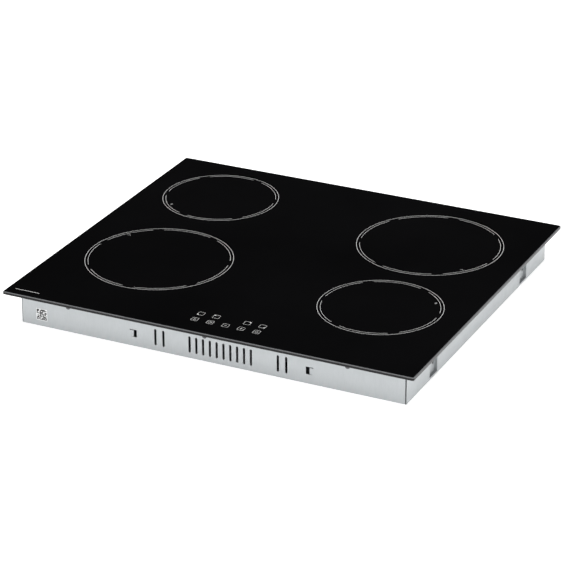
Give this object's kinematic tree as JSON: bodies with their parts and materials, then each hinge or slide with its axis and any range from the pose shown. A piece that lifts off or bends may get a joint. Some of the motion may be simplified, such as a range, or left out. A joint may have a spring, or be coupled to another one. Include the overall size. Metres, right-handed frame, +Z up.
{
  "type": "built-in glass-ceramic hob",
  "caption": "Built-in electric hob: black glass-ceramic plate with printed radiant zones and touch keys on a folded steel casing with vent slots.",
  "frame": {"origin": "middle of the underside, straight below the middle of the glass plate", "axes": "+X to the right seen from the front, +Y to the rear, +Z up through the glass"},
  "size_m": [0.59, 0.52, 0.05],
  "materials": {
    "black_glass": "gloss",
    "foam_seal": "matte",
    "silicone": "satin",
    "frame_steel": "satin",
    "casing_steel": "satin",
    "dark_screw": "satin",
    "label_film": "satin",
    "zinc_fastener": "satin",
    "spring_steel": "satin",
    "pan_steel": "satin",
    "insulation": "matte",
    "insulation_rim": "matte",
    "heating_strip": "matte",
    "limiter_ceramic": "matte",
    "dark_plastic": "matte",
    "cover_plastic": "matte",
    "circuit_board": "satin",
    "power_circuit_board": "satin",
    "contact_foam": "matte",
    "display_plastic": "satin",
    "chip_plastic": "matte",
    "ribbon_plastic": "satin",
    "nylon": "satin",
    "relay_plastic": "satin",
    "transformer_core": "satin",
    "capacitor_sleeve": "gloss",
    "tinned_brass": "satin",
    "red_wire": "satin",
    "grey_wire": "satin",
    "bush_rubber": "matte"
  },
  "bodies": {
    "hob": {"glass_top": "black_glass", "worktop_seal": "foam_seal", "glass_bond": "silicone", "glass_frame": "frame_steel", "tray": "casing_steel", "tray_screws": "dark_screw", "front_label": "label_film", "support_bars": "frame_steel", "rivets": "zinc_fastener", "heater_spring_rl": "spring_steel", "heater_spring_fl": "spring_steel", "heater_spring_rr": "spring_steel", "heater_spring_fr": "spring_steel", "control_carrier": "dark_plastic", "carrier_screws": "zinc_fastener", "control_board": "circuit_board", "touch_pads": "contact_foam", "led_displays": "display_plastic", "control_chips": "chip_plastic", "buzzer": "chip_plastic", "control_shield": "frame_steel", "ribbon_cable": "ribbon_plastic", "power_board": "power_circuit_board", "board_standoffs": "nylon", "relays": "relay_plastic", "transformer": "transformer_core", "capacitors": "capacitor_sleeve", "board_tabs": "tinned_brass", "heater_wiring": "red_wire", "mains_wiring": "grey_wire", "terminal_box": "dark_plastic", "terminal_flange": "dark_plastic", "terminal_block": "nylon", "terminal_screws": "tinned_brass", "cable_clamp": "nylon", "clamp_screws": "zinc_fastener", "cable_bush": "bush_rubber", "earth_screw": "tinned_brass"},
    "heater_rl": {"heater_pan_rl": "pan_steel", "heater_base_rl": "insulation", "heater_rim_rl": "insulation_rim", "heater_ribbon_rl": "heating_strip", "heater_limiter_rl": "limiter_ceramic"},
    "heater_fl": {"heater_pan_fl": "pan_steel", "heater_base_fl": "insulation", "heater_rim_fl": "insulation_rim", "heater_ribbon_fl": "heating_strip", "heater_limiter_fl": "limiter_ceramic"},
    "heater_rr": {"heater_pan_rr": "pan_steel", "heater_base_rr": "insulation", "heater_rim_rr": "insulation_rim", "heater_ribbon_rr": "heating_strip", "heater_limiter_rr": "limiter_ceramic"},
    "heater_fr": {"heater_pan_fr": "pan_steel", "heater_base_fr": "insulation", "heater_rim_fr": "insulation_rim", "heater_ribbon_fr": "heating_strip", "heater_limiter_fr": "limiter_ceramic"},
    "terminal_cover": {"terminal_cover": "cover_plastic"}
  },
  "joints": [
    {"name": "heater_rl_slide", "type": "slide", "parent": "hob", "child": "heater_rl", "axis": [0, 0, 1], "range_m": [-0.003, 0], "stiffness_N_per_m": 5000, "springref_m": 0.006, "deforming": ["heater_spring_rl"]},
    {"name": "heater_fl_slide", "type": "slide", "parent": "hob", "child": "heater_fl", "axis": [0, 0, 1], "range_m": [-0.003, 0], "stiffness_N_per_m": 5000, "springref_m": 0.006, "deforming": ["heater_spring_fl"]},
    {"name": "heater_rr_slide", "type": "slide", "parent": "hob", "child": "heater_rr", "axis": [0, 0, 1], "range_m": [-0.003, 0], "stiffness_N_per_m": 5000, "springref_m": 0.006, "deforming": ["heater_spring_rr"]},
    {"name": "heater_fr_slide", "type": "slide", "parent": "hob", "child": "heater_fr", "axis": [0, 0, 1], "range_m": [-0.003, 0], "stiffness_N_per_m": 5000, "springref_m": 0.006, "deforming": ["heater_spring_fr"]},
    {"name": "terminal_cover_hinge", "type": "hinge", "parent": "hob", "child": "terminal_cover", "pos_m": [0, 0.2486, 0.0052], "axis": [-1, 0, 0], "range_deg": [0, 95]}
  ]
}
